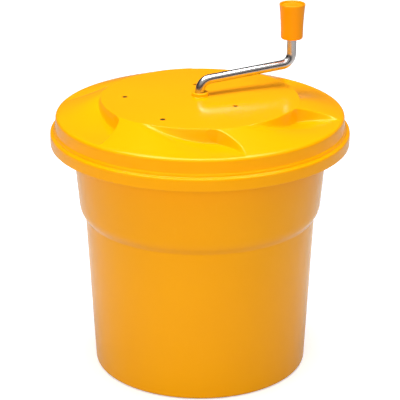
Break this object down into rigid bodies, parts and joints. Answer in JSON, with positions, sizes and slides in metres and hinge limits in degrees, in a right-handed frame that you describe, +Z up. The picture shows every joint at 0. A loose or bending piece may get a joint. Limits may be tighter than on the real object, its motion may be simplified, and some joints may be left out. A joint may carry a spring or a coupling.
{
  "type": "salad spinner",
  "caption": "Stepped round tub with a slotted spinning basket inside and a bladed lid whose bent crank drives the basket through a gear train.",
  "frame": {"origin": "centre of the tub's base, on the surface that the spinner stands on", "axes": "+Z up along the spin axis; the crank arm points 26 degrees from +X towards +Y at rest"},
  "size_m": [0.33, 0.33, 0.4015],
  "materials": {
    "orange_plastic": "satin gloss, moulded through in orange yellow",
    "ivory_plastic": "fine satin, moulded",
    "acetal": "smooth, slightly waxy",
    "polished_steel": "polished",
    "screw_steel": "dull, darkened in the recess",
    "seal_rubber": "matt"
  },
  "bodies": {
    "tub": {"outer_tub": "orange_plastic", "pivot_pin": "polished_steel"},
    "cup": {"pivot_cup": "acetal"},
    "basket": {"basket": "ivory_plastic"},
    "lid": {"lid_shell": "orange_plastic", "crank_bush": "acetal", "gear_case": "ivory_plastic", "case_gasket": "seal_rubber", "case_bush": "acetal", "case_screw_1": "screw_steel", "case_screw_2": "screw_steel", "case_screw_3": "screw_steel", "case_screw_4": "screw_steel", "layshaft": "polished_steel"},
    "crank": {"crank_rod": "polished_steel", "crank_gear": "acetal", "crank_pin": "polished_steel", "thrust_washer": "polished_steel", "crank_clip": "polished_steel", "drive_washer": "polished_steel", "knob_nut": "polished_steel"},
    "lay": {"lay_gear": "acetal"},
    "drive": {"output_gear": "acetal", "drive_plate": "ivory_plastic"},
    "knob": {"knob_grip": "orange_plastic", "knob_cap": "orange_plastic"}
  },
  "joints": [
    {"name": "basket_lift", "type": "slide", "parent": "tub", "child": "cup", "axis": [0, 0, 1], "range_m": [0, 0.27]},
    {"name": "basket_spin", "type": "hinge", "parent": "cup", "child": "basket", "pos_m": [0, 0, 0.024], "axis": [0, 0, 1], "continuous": true},
    {"name": "lid_lift", "type": "slide", "parent": "cup", "child": "lid", "axis": [0, 0, 1], "range_m": [0, 0.12]},
    {"name": "crank_turn", "type": "hinge", "parent": "lid", "child": "crank", "pos_m": [0, 0, 0.307], "axis": [0, 0, 1], "continuous": true},
    {"name": "lay_spin", "type": "hinge", "parent": "lid", "child": "lay", "pos_m": [-0.03576, -0.03088, 0.292], "axis": [0, 0, 1], "continuous": true},
    {"name": "drive_spin", "type": "hinge", "parent": "lid", "child": "drive", "pos_m": [0, 0, 0.28], "axis": [0, 0, 1], "continuous": true},
    {"name": "knob_spin", "type": "hinge", "parent": "crank", "child": "knob", "pos_m": [0.10201, 0.04976, 0.38], "axis": [0, 0, 1], "continuous": true}
  ],
  "couplings": [
    {"joint": "drive_spin", "follows": "basket_spin", "ratio": 1},
    {"joint": "crank_turn", "follows": "basket_spin", "ratio": 0.25},
    {"joint": "lay_spin", "follows": "basket_spin", "ratio": -0.5}
  ]
}
